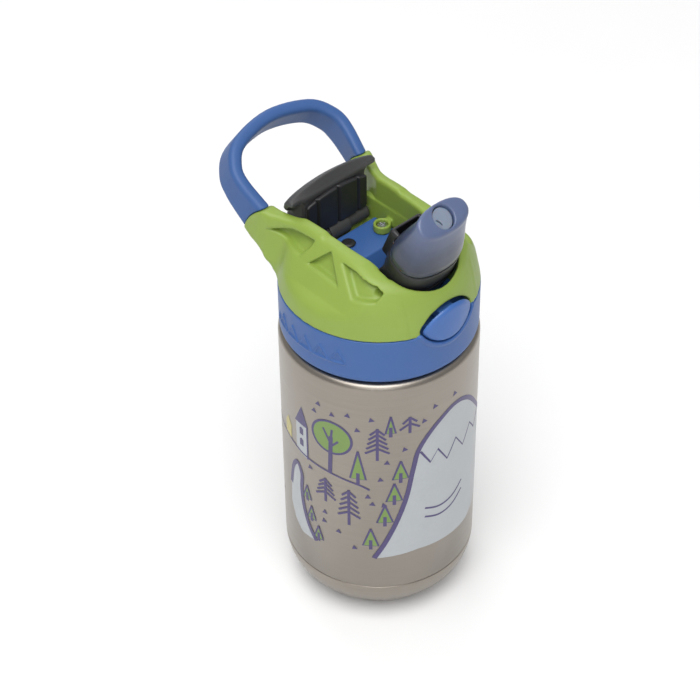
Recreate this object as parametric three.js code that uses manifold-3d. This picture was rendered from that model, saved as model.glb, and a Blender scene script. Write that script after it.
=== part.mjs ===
// A child's insulated steel drinking bottle with a screw lid, a carry loop, a push button,
// a spout that springs up and a small cover that guards its tip. Millimetres, +Z up.
// Origin: centre of the base on the standing plane. -Y is the front, where the button is.
import * as THREE from "three";
import { mergeVertices } from "three/addons/utils/BufferGeometryUtils.js";
import Module from "manifold-3d";

const wasm = await Module();
wasm.setup();

// Driving dimensions
const GAP = 0.3; // between pieces that touch on the real object
const SEGMENTS = 40; // round the big lathed pieces

const BODY_R = 36.5;
const STEEL = 0.6; // sheet thickness
const BASE_CORNER = 19; // radius of the rounded bottom corner
const SHOULDER_Z = 122.7;
const SHOULDER_R = 34.4;
const NECK_R = 29.5;
const NECK_TOP = 137.4;
const FLASK_R = 33.2;
const FLASK_NECK_R = 28.4;
const FLASK_FLOOR = 9;

const THREAD_LEAD = 8; // rise in one turn of the two-start thread
const THREAD_DEPTH = 1.3;
const THREAD_START = 127.6; // height where the neck's ridges begin
const THREAD_WIDTH = 1.3;
const THREAD_TURNS = 0.6;

const COLLAR_R = 36;
const COLLAR_BORE = 31.5;
const COLLAR_BOTTOM = 123.3;
const COLLAR_TOP = 142;
const DECK_BOTTOM = 141;
const DECK_TOP = 144;

const SLOT_HALF = 16; // half width of the valley between the two ridges
const FLOOR_Z = 150;
const FLOOR_FRONT = 4;
const FLOOR_REAR = 18.6;
const SHELL_WALL = 2.2;
const SHELL_BOTTOM = COLLAR_TOP + GAP;
const REAR_SLAB_TOP = 147; // floor of the pocket that the open cover swings in
const RECESS_DEPTH = 1.9;
const SHELL_DOME = [
  [36, 142.3], [34.9, 147.8], [34.1, 151.5], [33.2, 154.5], [32.1, 157.5], [31.1, 159.6], [30.1, 161],
  [27.5, 164], [23.5, 167], [17, 171],
];

const ARM_INSIDE = [[21.8, 50], [21.8, 33.5], [20, 28], [17.6, 21.6], [16.4, FLOOR_REAR]]; // in plan
const GRIP_JOINT = [[40.8, 156.7], [33.6, 166.9]]; // where each arm ends and the loop's grip begins, in YZ

const SPOUT_Y = -18;
const SPOUT_Z = 155;
const SPOUT_LEAN = THREE.MathUtils.degToRad(22.6);
const SPOUT_LENGTH = 34;
const BARREL_R = 7.2;
const BARREL_HALF = 12.6;
const HOOD_TOP = 13;
const STEM_Y = SPOUT_Y;

const COVER_Y = 23;
const COVER_Z = 151;
const COVER_HALF = 20;

const BUTTON_Z = 143.6;
const BUTTON_HALF = 12;
const BUTTON_RISE = 7.2;
const BUTTON_FACE_R = 37;
const BUTTON_BACK_R = 35.4;

const BOSS_X = 12;
const BOSS_Y = 11;
const BOSS_TOP = 153.5;
const VENT_X = -2;
const VENT_Y = 13.5;

// Closed geometry to solid, with its faces turned outwards.
function solid(geometry) {
  const bare = geometry.clone();
  bare.deleteAttribute("normal");
  bare.deleteAttribute("uv");
  const merged = mergeVertices(bare, 1e-4);
  const points = merged.attributes.position.array;
  const corners = new Uint32Array(merged.index.array);
  const at = (i) => new THREE.Vector3().fromArray(points, 3 * corners[i]);
  let volume = 0;
  for (let i = 0; i < corners.length; i += 3) {
    volume += at(i).dot(at(i + 1).cross(at(i + 2)));
  }
  if (volume < 0) corners.reverse();
  const mesh = new wasm.Mesh({ numProp: 3, vertProperties: points, triVerts: corners });
  return new wasm.Manifold(mesh);
}

function joined(solids) {
  return solids.reduce((all, next) => all.add(next));
}

function cut(body, tools) {
  return tools.reduce((left, tool) => left.subtract(tool), body);
}

// Solid of revolution about Z, from [radius, height] points that start and end on the axis or close a ring.
function lathe(profile, { ring = false, segments = SEGMENTS } = {}) {
  const points = profile.map(([r, z]) => new THREE.Vector2(r, z));
  if (ring) points.push(points[0].clone());
  return solid(new THREE.LatheGeometry(points, segments).rotateX(Math.PI / 2));
}

function tube(outer, inner, low, high, segments = 24) {
  const profile = [[inner, low], [outer, low], [outer, high], [inner, high]];
  return lathe(profile, { ring: true, segments });
}

function disc(radius, low, high, segments = 24) {
  return lathe([[0, low], [radius, low], [radius, high], [0, high]], { segments });
}

function rod(radius, from, to, y, z, segments = 20) {
  return disc(radius, from, to, segments).rotate([0, 90, 0]).translate([0, y, z]);
}

function box([x0, y0, z0], [x1, y1, z1]) {
  const made = new THREE.BoxGeometry(x1 - x0, y1 - y0, z1 - z0);
  return solid(made.translate((x0 + x1) / 2, (y0 + y1) / 2, (z0 + z1) / 2));
}

// An outline in the YZ plane run along X, in the XZ plane run along Y, or in the XY plane run along Z.
function alongX(outline, from, to) {
  return prism(outline, from, to, [0, 1, 0], [0, 0, 1], [1, 0, 0]);
}

function alongY(outline, from, to) {
  return prism(outline, -to, -from, [1, 0, 0], [0, 0, 1], [0, -1, 0]);
}

function alongZ(outline, from, to) {
  return prism(outline, from, to, [1, 0, 0], [0, 1, 0], [0, 0, 1]);
}

function prism(outline, from, to, right, up, along) {
  const shape = outline instanceof THREE.Shape
    ? outline
    : new THREE.Shape(outline.map(([a, b]) => new THREE.Vector2(a, b)));
  const options = { depth: to - from, bevelEnabled: false, curveSegments: 10 };
  const made = new THREE.ExtrudeGeometry(shape, options);
  made.translate(0, 0, from);
  const axes = [right, up, along].map((axis) => new THREE.Vector3(...axis));
  return solid(made.applyMatrix4(new THREE.Matrix4().makeBasis(...axes)));
}

// Skin through rings of the same number of points, closed by flat caps.
function loft(rings) {
  const count = rings[0].length;
  const made = new THREE.BufferGeometry().setFromPoints(rings.flat());
  const index = [];
  for (let r = 0; r + 1 < rings.length; r++) {
    for (let i = 0; i < count; i++) {
      const a = r * count + i;
      const b = r * count + ((i + 1) % count);
      index.push(a, b, b + count, a, b + count, a + count);
    }
  }
  const last = (rings.length - 1) * count;
  for (let i = 1; i + 1 < count; i++) {
    index.push(0, i + 1, i, last, last + i, last + i + 1);
  }
  return solid(made.setIndex(index));
}

// A two-start screw ridge that stands from the wall radius to the crest radius.
function threads(wall, crest, start) {
  const ridge = (turn) => {
    const steps = Math.round(THREAD_TURNS * SEGMENTS);
    const rings = [];
    for (let i = 0; i <= steps; i++) {
      const share = (i / steps) * THREAD_TURNS;
      const angle = 2 * Math.PI * (share + turn);
      const z = start + THREAD_LEAD * share;
      const foot = THREAD_WIDTH;
      const tip = THREAD_WIDTH / 2;
      const section = [[wall, -foot], [crest, -tip], [crest, tip], [wall, foot]];
      rings.push(section.map(([r, dz]) =>
        new THREE.Vector3(r * Math.cos(angle), r * Math.sin(angle), z + dz)));
    }
    return loft(rings);
  };
  return [ridge(0), ridge(0.5)];
}

// A wire coil about an axis through the given centre.
function coil(radius, wire, length, turns, axis, centre) {
  const steps = turns * 8;
  const rings = [];
  for (let i = 0; i <= steps; i++) {
    const angle = (2 * Math.PI * i) / 8;
    const out = new THREE.Vector3(Math.cos(angle), Math.sin(angle), 0);
    const middle = out.clone().multiplyScalar(radius);
    middle.z = length * (i / steps - 0.5);
    rings.push([0, 1, 2, 3].map((side) => {
      const turn = (2 * Math.PI * side) / 4;
      const point = middle.clone().addScaledVector(out, wire * Math.cos(turn));
      point.z += wire * Math.sin(turn);
      return point;
    }));
  }
  const turned = new THREE.Quaternion().setFromUnitVectors(new THREE.Vector3(0, 0, 1), axis);
  const place = new THREE.Vector3(...centre);
  return loft(rings.map((ring) => ring.map((p) => p.applyQuaternion(turned).add(place))));
}

function arc(radius, [cr, cz], from, to, steps) {
  const points = [];
  for (let i = 0; i <= steps; i++) {
    const angle = THREE.MathUtils.degToRad(from + ((to - from) * i) / steps);
    points.push([cr + radius * Math.cos(angle), cz + radius * Math.sin(angle)]);
  }
  return points;
}

// Steel bottle: a rounded base cup, the outer shell with its threaded neck, and the flask inside.
function baseCup() {
  const centre = [BODY_R - BASE_CORNER, BASE_CORNER];
  const outside = arc(BASE_CORNER, centre, -90, 0, 6);
  const inside = arc(BASE_CORNER - STEEL, centre, 0, -90, 6);
  return lathe([[0, 0], ...outside, ...inside, [0, STEEL]]);
}

function outerShell() {
  const low = BASE_CORNER + GAP;
  const shoulder = SHOULDER_Z - (BODY_R - SHOULDER_R);
  const wall = [
    [BODY_R, low], [BODY_R, shoulder - 1.2], [BODY_R - 0.6, shoulder + 0.6], [SHOULDER_R, SHOULDER_Z],
  ];
  const neck = [[NECK_R, SHOULDER_Z], [NECK_R, NECK_TOP]];
  const inner = [
    [NECK_R - STEEL, NECK_TOP], [NECK_R - STEEL, SHOULDER_Z - STEEL],
    [SHOULDER_R - 0.3, SHOULDER_Z - STEEL], [BODY_R - STEEL, shoulder - 1], [BODY_R - STEEL, low],
  ];
  return joined([
    lathe([...wall, ...neck, ...inner], { ring: true }),
    ...threads(NECK_R - STEEL / 2, NECK_R + THREAD_DEPTH, THREAD_START),
  ]);
}

function innerFlask() {
  const lip = NECK_TOP + GAP;
  const wall = STEEL;
  const shoulder = SHOULDER_Z - 3;
  const corner = 8;
  const centre = [FLASK_R - corner, FLASK_FLOOR + corner];
  const outside = [
    [0, FLASK_FLOOR], ...arc(corner, centre, -90, 0, 3), [FLASK_R, shoulder - 5],
    [FLASK_NECK_R, shoulder], [FLASK_NECK_R, lip], [NECK_R, lip], [NECK_R, lip + wall],
  ];
  const inside = [
    [FLASK_NECK_R - wall, lip + wall], [FLASK_NECK_R - wall, shoulder - 0.3],
    [FLASK_R - wall, shoulder - 5.3], ...arc(corner - wall, centre, 0, -90, 3), [0, FLASK_FLOOR + wall],
  ];
  return lathe([...outside, ...inside]);
}

function getterCapsule() {
  return disc(6, STEEL + GAP, STEEL + GAP + 2.2);
}

// Lid: the blue collar screws on the neck, and the green shell, screwed on it, carries the rest.
function lensOutline(grow) {
  const half = BUTTON_HALF + grow;
  const rise = BUTTON_RISE + grow;
  const shape = new THREE.Shape();
  shape.moveTo(-half, BUTTON_Z);
  shape.quadraticCurveTo(-half * 0.55, BUTTON_Z - rise, 0, BUTTON_Z - rise);
  shape.quadraticCurveTo(half * 0.55, BUTTON_Z - rise, half, BUTTON_Z);
  shape.quadraticCurveTo(half * 0.55, BUTTON_Z + rise, 0, BUTTON_Z + rise);
  shape.quadraticCurveTo(-half * 0.55, BUTTON_Z + rise, -half, BUTTON_Z);
  return shape;
}

function buttonPocket() {
  const window = alongY(lensOutline(0.35), -40, -24);
  return window.subtract(disc(COLLAR_BORE + 1.1, 120, 160, SEGMENTS));
}

function lidCollar() {
  const skirt = [
    [COLLAR_BORE, COLLAR_BOTTOM], [34.7, COLLAR_BOTTOM], [COLLAR_R, COLLAR_BOTTOM + 2],
    [COLLAR_R, COLLAR_TOP], [33, COLLAR_TOP], [33, DECK_TOP], [0, DECK_TOP],
  ];
  const inside = [[0, DECK_BOTTOM], [COLLAR_BORE, DECK_BOTTOM]];
  const ring = lathe([...skirt.reverse(), ...inside.reverse()]);
  const half = SLOT_HALF - GAP;
  const steps = [
    [0.4, DECK_TOP - 1], [0.4, DECK_TOP + 0.3], [FLOOR_FRONT, FLOOR_Z],
    [FLOOR_REAR, FLOOR_Z], [FLOOR_REAR, DECK_TOP - 1],
  ];
  const pedestal = alongX(steps, -half, half);
  const hollow = box([-9, FLOOR_FRONT + 2, DECK_BOTTOM - 1], [9, FLOOR_REAR - 2, FLOOR_Z - 2]);
  const stem = tube(3.2, 2.2, 129, DECK_BOTTOM + 1).translate([0, STEM_Y, 0]);
  const passage = disc(2.2, DECK_BOTTOM - 2, DECK_TOP + 1).translate([0, STEM_Y, 0]);
  const rib = box([-3, -22.7, DECK_TOP - 1], [3, -21.9, 148]);
  const pilots = [-BOSS_X, BOSS_X].map((x) => disc(1.5, 120, 160, 16).translate([x, BOSS_Y, 0]));
  const vent = disc(1.3, 120, 160, 16).translate([VENT_X, VENT_Y, 0]);
  const teeth = threads(COLLAR_BORE + 0.4, COLLAR_BORE - THREAD_DEPTH, THREAD_START - THREAD_LEAD / 4);
  const body = joined([ring, pedestal, stem, rib]);
  return cut(body, [hollow, passage, ...pilots, vent, buttonPocket()]).add(joined(teeth));
}

function circle(radius, x, y, segments = SEGMENTS) {
  const outline = [];
  for (let i = 0; i < segments; i++) {
    const angle = (2 * Math.PI * i) / segments;
    outline.push([x + radius * Math.cos(angle), y + radius * Math.sin(angle)]);
  }
  return outline;
}

// The shell's outside, or with an inset its inside: where its dome, front and side outlines meet.
function shellBlock(inset) {
  const low = inset ? SHELL_BOTTOM - 1 : SHELL_BOTTOM;
  const round = SHELL_DOME.map(([r, z], i) => [r - inset, i ? z - inset : low]);
  const dome = lathe([[0, low], ...round, [0, round[round.length - 1][1]]]);
  const half = [[36, low], [36, 147], [34.4, 149.4], [30.5, 151.4], [19.4, 167.6], [18.2, 169], [0, 171]];
  const front = half.map(([x, z], i) => [x - inset, z - (i ? inset : 0)]);
  front[front.length - 1][0] = 0;
  const mirrored = front.slice(0, -1).map(([x, z]) => [-x, z]).reverse();
  const side = [
    [-36 + inset, low], [-36 + inset, 151], [-34 + inset, 156 - inset], [-31 + inset, 159.2 - inset],
    [-24, 161.8 - inset], [-12, 165 - inset], [2, 166 - inset],
    [24, 166 - inset], [32 - inset, 166.5 - inset], [41 - inset, 156.4],
    [35.8 - inset, 151.5], [35.8 - inset, low],
  ];
  return dome.intersect(alongY([...front, ...mirrored], -40, 45)).intersect(alongX(side, -40, 40));
}

// One rear arm, which carries the loop: it leaves the ridge and spreads round the open cover.
function arm(side, inset = 0) {
  const outline = [
    [10, 152], [20, 143.4], [26.8, 143.8], [29, 146.6], [31.4, 148.9], [35, 151.5], [38.2, 154.7],
    ...GRIP_JOINT, [24, 166], [10, 166],
  ];
  const outer = [[19.2, 10], [19.9, 16], [21.8, 22.5], [25, 29], [26.6, 33.5], [26.6, 42]];
  const plan = [...outer.map(([x, y]) => [x - inset, y]), ...ARM_INSIDE];
  const spread = alongZ(plan.map(([x, y]) => [side * x, y]), 140, 180);
  return alongX(outline, -40, 40).intersect(spread);
}

function valley() {
  const rear = box([-SLOT_HALF, -9, DECK_TOP - 3], [SLOT_HALF, FLOOR_REAR + GAP, 180]);
  const behind = box([-SLOT_HALF, 0, REAR_SLAB_TOP], [SLOT_HALF, 50, 180]);
  const mouth = new THREE.Shape();
  const half = 14.4;
  mouth.moveTo(half, -8);
  mouth.lineTo(half, -21);
  mouth.absellipse(0, -21, half, 10.4, 0, -Math.PI, true);
  mouth.lineTo(-half, -8);
  return joined([rear, behind, prism(mouth, DECK_TOP - 3, 180, [1, 0, 0], [0, 1, 0], [0, 0, 1])]);
}

// Three shallow pockets, one behind the other, in the sloping outer face of a ridge.
function sideRecesses(side) {
  const leaf = [[28.8, 160.4], [20.4, 163], [10.8, 163.6], [12.9, 158.3], [22, 158.4]];
  const middle = [[8.3, 157.5], [1.6, 163.4], [-7.2, 156.8]];
  const front = [[-5.8, 162.6], [-11, 154.6], [-20, 154.2], [-20.4, 157]];
  const from = side > 0 ? 17 : -40;
  const pockets = joined([leaf, middle, front].map((outline) => alongX(outline, from, from + 23)));
  return cut(pockets, [shellBlock(RECESS_DEPTH), arm(side, RECESS_DEPTH)]);
}

function lidShell() {
  const skin = joined([shellBlock(0), arm(1), arm(-1)]);
  const side = joined([
    box([-40, -40, 130], [-SLOT_HALF - SHELL_WALL, 50, 190]),
    box([SLOT_HALF + SHELL_WALL, -40, 130], [40, 50, 190]),
  ]);
  const backing = joined([box([-40, -23, 130], [-17, 31, 190]), box([17, -23, 130], [40, 31, 190])]);
  const inside = shellBlock(SHELL_WALL).intersect(side);
  const deep = shellBlock(SHELL_WALL + 2.4).intersect(side);
  const hollow = inside.subtract(backing).add(deep);
  const seatHole = disc(33 + GAP, DECK_TOP - 4, DECK_TOP + GAP, SEGMENTS);
  const cheek = SLOT_HALF + SHELL_WALL;
  const across = ARM_INSIDE.map(([x, y]) => [-x, y]).reverse();
  const rearGap = alongZ([...across, ...ARM_INSIDE], REAR_SLAB_TOP, 180)
    .subtract(box([-cheek, 0, 130], [cheek, 27, 157]));
  const stemWay = box([-3.9, -36, DECK_TOP], [3.9, -26, 148.7]);
  const pins = [rod(1.8, -30, 30, SPOUT_Y, SPOUT_Z), rod(1.5, -18.6, 18.6, COVER_Y, COVER_Z)];
  const bosses = [-1, 1].flatMap((way) => [
    disc(3.2, FLOOR_Z + GAP, BOSS_TOP).translate([way * BOSS_X, BOSS_Y, 0]),
    box([way * 15 - 2, 9.4, FLOOR_Z + GAP], [way * 15 + 2, 12.6, BOSS_TOP - 0.6]),
  ]);
  const holes = [-BOSS_X, BOSS_X].flatMap((x) => [
    disc(2.2, FLOOR_Z + 0.9, 160).translate([x, BOSS_Y, 0]),
    disc(1.5, 140, 160, 16).translate([x, BOSS_Y, 0]),
  ]);
  const openings = [valley(), hollow, seatHole, rearGap, stemWay, buttonPocket()];
  const shell = cut(skin, [...openings, sideRecesses(1), sideRecesses(-1)]);
  return cut(shell.add(joined(bosses)), [...pins, ...holes]);
}

function loopPath() {
  const half = [
    [24, 32, 158.9], [24.2, 37.2, 161.8], [24.8, 46, 168.4], [23.1, 51.4, 172.7], [16.3, 56.7, 176.4],
  ];
  const right = half.map(([x, y, z]) => new THREE.Vector3(x, y, z));
  const left = half.map(([x, y, z]) => new THREE.Vector3(-x, y, z)).reverse();
  return new THREE.CatmullRomCurve3([...right, new THREE.Vector3(0, 59.4, 178.5), ...left]);
}

// A flat band on edge, 4.8 mm thick and 13 mm deep, which leans outwards where it meets the arms.
function handleGrip() {
  const path = loopPath();
  const steps = 26;
  const normal = new THREE.Vector3(0, -0.6, 0.8);
  const rings = [];
  for (let i = 0; i <= steps; i++) {
    const share = i / steps;
    const middle = path.getPointAt(share);
    const out = new THREE.Vector3().crossVectors(path.getTangentAt(share), normal).normalize();
    const lean = 0.18 * Math.pow(Math.abs(2 * share - 1), 6) * Math.sign(0.5 - share);
    const deep = normal.clone().add(new THREE.Vector3(-lean, 0, 0));
    rings.push(circle(1, 0, 0, 12).map(([a, b]) => {
      const soft = (value) => Math.sign(value) * Math.pow(Math.abs(value), 0.7);
      return middle.clone().addScaledVector(out, 2.4 * soft(a)).addScaledVector(deep, 6.5 * soft(b));
    }));
  }
  const [low, high] = GRIP_JOINT.map(([y, z]) => [y + GAP, z + GAP / 2]);
  const slope = (high[0] - low[0]) / (high[1] - low[1]);
  const at = (z) => [low[0] + slope * (z - low[1]), z];
  return loft(rings).intersect(alongX([at(150), at(175), [70, 190], [70, 150]], -40, 40));
}

function screw(x) {
  const head = disc(1.9, FLOOR_Z + 1.2, FLOOR_Z + 2.6, 16);
  const shank = disc(1.2, DECK_TOP - 1, FLOOR_Z + 1.4, 12);
  const bar = box([-1.3, -0.3, FLOOR_Z + 1.9], [1.3, 0.3, 160]);
  return cut(head.add(shank), [bar, bar.rotate([0, 0, 90])]).translate([x, BOSS_Y, 0]);
}

function lidGasket() {
  return tube(NECK_R + 1, FLASK_NECK_R - 2, NECK_TOP + 2 * GAP + STEEL, DECK_BOTTOM - GAP, SEGMENTS);
}

function straw() {
  return tube(4.5, 3.5, FLASK_FLOOR + 4, DECK_BOTTOM - 1.5, 20).translate([0, STEM_Y, 0]);
}

function stemSeal() {
  return tube(3.4, 2.2, DECK_TOP + GAP, SPOUT_Z - BARREL_R - 2 * GAP).translate([0, STEM_Y, 0]);
}

function ventValve() {
  const stem = disc(0.9, FLOOR_Z - 3.4, FLOOR_Z + 0.6, 12);
  return stem.add(disc(2.6, FLOOR_Z + GAP, FLOOR_Z + 1.1, 16)).translate([VENT_X, VENT_Y, 0]);
}

// Spout: sections across its own axis, where u runs from the pivot to the tip and v to the rear.
function spoutPoint(x, v, u) {
  const sin = Math.sin(SPOUT_LEAN);
  const cos = Math.cos(SPOUT_LEAN);
  return new THREE.Vector3(x, SPOUT_Y + v * cos - u * sin, SPOUT_Z + v * sin + u * cos);
}

function spoutSection(halfWidth, halfDepth, u, tilt = 0) {
  const rim = circle(1, 0, 0, 20).map(([a, b]) => [halfWidth * a, halfDepth * b]);
  return rim.map(([x, v]) => spoutPoint(x, v, u + tilt * v));
}

function spoutBore(radius, from, to) {
  const ring = (u) => circle(radius, 0, 0, 16).map(([x, v]) => spoutPoint(x, v, u));
  return loft([ring(from), ring(to)]);
}

function spoutHood() {
  const barrel = rod(BARREL_R, -BARREL_HALF, BARREL_HALF, SPOUT_Y, SPOUT_Z, 28);
  const skirt = loft([
    spoutSection(13, 7, 0), spoutSection(13.6, 9.6, 6), spoutSection(13.6, 9.4, HOOD_TOP),
  ]);
  const spine = loft([
    [[-6.5, 4, 3], [6.5, 4, 3], [6.5, 11.4, 6], [-6.5, 11.4, 6]],
    [[-6.5, 5, 18], [6.5, 5, 18], [6.5, 11.4, 15.5], [-6.5, 11.4, 15.5]],
  ].map((ring) => ring.map(([x, v, u]) => spoutPoint(x, v, u))));
  const slot = loft([9, 16.9, 19].map((u) =>
    [[-4.6, 9, u], [4.6, 9, u], [4.6, 10.6, u], [-4.6, 10.6, u]].map(([x, v, h]) => spoutPoint(x, v, h))));
  const ends = [rod(1.8, -20, -10, SPOUT_Y, SPOUT_Z), rod(1.8, 10, 20, SPOUT_Y, SPOUT_Z)];
  const springSeat = rod(3.6, -20, -BARREL_HALF + 3, SPOUT_Y, SPOUT_Z);
  const body = joined([barrel, skirt, spine]);
  return cut(body, [slot, ...ends, springSeat, spoutBore(4.2, -20, HOOD_TOP + 1), spineRelief()]);
}

function spineRelief() {
  const [u0, u1] = [HOOD_TOP, HOOD_TOP + 10];
  return loft([spoutSection(13.9, 9.2, u0), spoutSection(12.4, 7.4, u1)]);
}

function mouthpiece() {
  const low = HOOD_TOP + GAP;
  const body = loft([
    spoutSection(13.4, 8.8, low), spoutSection(12.6, 7, 20), spoutSection(11.6, 5.6, 27),
    spoutSection(11, 4.9, SPOUT_LENGTH, 0.36),
  ]);
  return body.subtract(spoutBore(4.2, 0, 60));
}

function mouthTube() {
  const ring = spoutBore(3.9, -5.6, 31.5);
  return ring.subtract(spoutBore(2.7, -20, 60));
}

// Cover: a domed flap with wings wider than the valley, and a ribbed pad on its inner face.
function coverFlap() {
  const rings = [];
  for (let i = -6; i <= 6; i++) {
    const share = Math.sin((Math.PI / 2) * (i / 6));
    const x = COVER_HALF * share;
    const full = Math.sqrt(1 - share * share);
    const crown = 3.4 * (1 - share * share);
    rings.push([
      [22.6, 170.4], [22.7, 171.6], [24.4, 171.8 + crown], [25.2 + 3 * full, 171.2 + 0.6 * crown - full],
      [25.4 + 7.6 * full, 170.2 - 9 * full], [25 + 5.6 * full, 170 - 9.6 * full],
      [24.4 + 2 * full, 169.8 - full],
    ].map(([y, z]) => new THREE.Vector3(x, y, z)));
  }
  const middle = alongX([[22.6, 153], [26.2, 153], [32, 160.4], [26.4, 169], [23, 171]], -14.8, 14.8);
  const knuckle = rod(3, -14.8, 14.8, COVER_Y, COVER_Z);
  const springGap = rod(4.2, -4.2, 4.2, COVER_Y, COVER_Z);
  return cut(joined([loft(rings), middle, knuckle]), [springGap, rod(1.5, -20, 20, COVER_Y, COVER_Z)]);
}

function coverPad() {
  const plate = box([-14.2, 20.2, 154.6], [14.2, 22.3, 168.8]);
  const grooves = [-7, 0, 7].map((x) => box([x - 0.4, 19, 150], [x + 0.4, 21.2, 175]));
  return cut(plate, grooves);
}

function coverPin() {
  return rod(1.2, -18.2, 18.2, COVER_Y, COVER_Z);
}

function spoutPin(side) {
  const [near, far] = [side * 10.4, side * 18.6];
  return rod(1.5, Math.min(near, far), Math.max(near, far), SPOUT_Y, SPOUT_Z);
}

function buttonCap() {
  const face = alongY(lensOutline(0), -BUTTON_FACE_R - 2, -30)
    .intersect(disc(BUTTON_FACE_R, 130, 160, SEGMENTS))
    .subtract(disc(BUTTON_BACK_R, 120, 165, SEGMENTS));
  const stem = box([-3.4, -BUTTON_BACK_R - 0.8, DECK_TOP + 0.4], [3.4, -27.5, 148.2]);
  return face.add(stem);
}

const group = new THREE.Group();

function add(name, body, color, roughness, metalness = 0) {
  const { numProp, numVert, vertProperties, triVerts } = body.getMesh();
  const points = new Float32Array(numVert * 3);
  for (let i = 0; i < numVert; i++) {
    points.set(vertProperties.subarray(i * numProp, i * numProp + 3), i * 3);
  }
  const made = new THREE.BufferGeometry();
  made.setAttribute("position", new THREE.BufferAttribute(points, 3));
  made.setIndex(new THREE.BufferAttribute(triVerts, 1));
  made.computeVertexNormals();
  const mesh = new THREE.Mesh(made, new THREE.MeshStandardMaterial({ color, roughness, metalness }));
  mesh.name = name;
  group.add(mesh);
}

const GREEN = 0x9bbb3c;
const BLUE = 0x4a78be;
const BLACK = 0x232326;
const SPRING = 0xb8babd;
const X_AXIS = new THREE.Vector3(1, 0, 0);
const Y_AXIS = new THREE.Vector3(0, 1, 0);

add("base_cup", baseCup(), 0x9a9087, 0.35, 1);
add("outer_shell", outerShell(), 0x9a9087, 0.35, 1);
add("inner_flask", innerFlask(), 0xb5b2ad, 0.3, 1);
add("getter_capsule", getterCapsule(), 0x8c8c8c, 0.5, 1);
add("lid_gasket", lidGasket(), 0xd9dde0, 0.6);
add("lid_collar", lidCollar(), BLUE, 0.45);
add("lid_shell", lidShell(), GREEN, 0.45);
add("handle_grip", handleGrip(), BLUE, 0.5);
add("screw_left", screw(-BOSS_X), SPRING, 0.3, 1);
add("screw_right", screw(BOSS_X), SPRING, 0.3, 1);
add("spout_pin_left", spoutPin(-1), SPRING, 0.3, 1);
add("spout_pin_right", spoutPin(1), SPRING, 0.3, 1);
add("cover_pin", coverPin(), SPRING, 0.3, 1);
add("spout_spring", coil(2.8, 0.35, 1.9, 2, X_AXIS, [-11.7, SPOUT_Y, SPOUT_Z]), SPRING, 0.3, 1);
add("cover_spring", coil(2.1, 0.3, 7, 4, X_AXIS, [0, COVER_Y, COVER_Z]), SPRING, 0.3, 1);
add("button_spring", coil(1.5, 0.25, 3.8, 4, Y_AXIS, [0, -25, 146.1]), SPRING, 0.3, 1);
add("straw", straw(), 0xdfe6ee, 0.4);
add("stem_seal", stemSeal(), 0xd9dde0, 0.6);
add("vent_valve", ventValve(), BLACK, 0.6);
add("spout_hood", spoutHood(), BLACK, 0.5);
add("mouthpiece", mouthpiece(), 0x7d92c4, 0.35);
add("mouth_tube", mouthTube(), 0xcfd9ee, 0.4);
add("cover_flap", coverFlap(), BLACK, 0.45);
add("cover_pad", coverPad(), BLACK, 0.6);
add("button_cap", buttonCap(), 0x4f82cc, 0.4);

export default group;
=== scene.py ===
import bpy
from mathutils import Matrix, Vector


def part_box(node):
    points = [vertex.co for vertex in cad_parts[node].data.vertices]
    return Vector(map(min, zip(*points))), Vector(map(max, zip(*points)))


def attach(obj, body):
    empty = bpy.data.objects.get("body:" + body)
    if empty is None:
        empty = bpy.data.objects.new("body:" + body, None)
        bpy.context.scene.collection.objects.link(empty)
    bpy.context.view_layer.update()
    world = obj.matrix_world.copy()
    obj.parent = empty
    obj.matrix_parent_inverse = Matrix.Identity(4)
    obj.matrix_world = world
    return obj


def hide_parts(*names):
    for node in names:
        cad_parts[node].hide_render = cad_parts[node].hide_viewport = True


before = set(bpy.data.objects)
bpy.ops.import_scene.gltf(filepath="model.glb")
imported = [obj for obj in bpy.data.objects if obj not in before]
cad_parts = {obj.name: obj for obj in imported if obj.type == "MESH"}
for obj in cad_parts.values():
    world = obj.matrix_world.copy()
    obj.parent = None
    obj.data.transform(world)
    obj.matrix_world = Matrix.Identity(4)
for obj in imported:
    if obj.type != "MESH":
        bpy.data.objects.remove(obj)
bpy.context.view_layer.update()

import math

import bmesh
import bpy
import numpy as np
import openvdb
from mathutils import Matrix, Vector

# ---- Studio: a pale table top under a soft lamp, with a weak fill in front and a rim lamp behind.
# Materials are written as sums of shader values, so the class that does it comes first.
MM = 0.001


class Value:
    """One output socket; arithmetic on it adds Math nodes to its material."""

    def __init__(self, paint, socket):
        self.paint = paint
        self.socket = socket

    def math(self, operation, *values):
        return self.paint.node("ShaderNodeMath", {"operation": operation}, dict(enumerate(values)))

    def __add__(self, other):
        return self.math("ADD", self, other)

    def __sub__(self, other):
        return self.math("SUBTRACT", self, other)

    def __rsub__(self, other):
        return self.math("SUBTRACT", other, self)

    def __mul__(self, other):
        return self.math("MULTIPLY", self, other)

    __radd__ = __add__
    __rmul__ = __mul__

    def above(self, edge, softness):
        """0 below the edge and 1 above it, over a soft step."""
        inputs = {"Value": self, "From Min": edge - softness, "From Max": edge + softness}
        return self.paint.node("ShaderNodeMapRange", {"clamp": True}, inputs)


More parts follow.
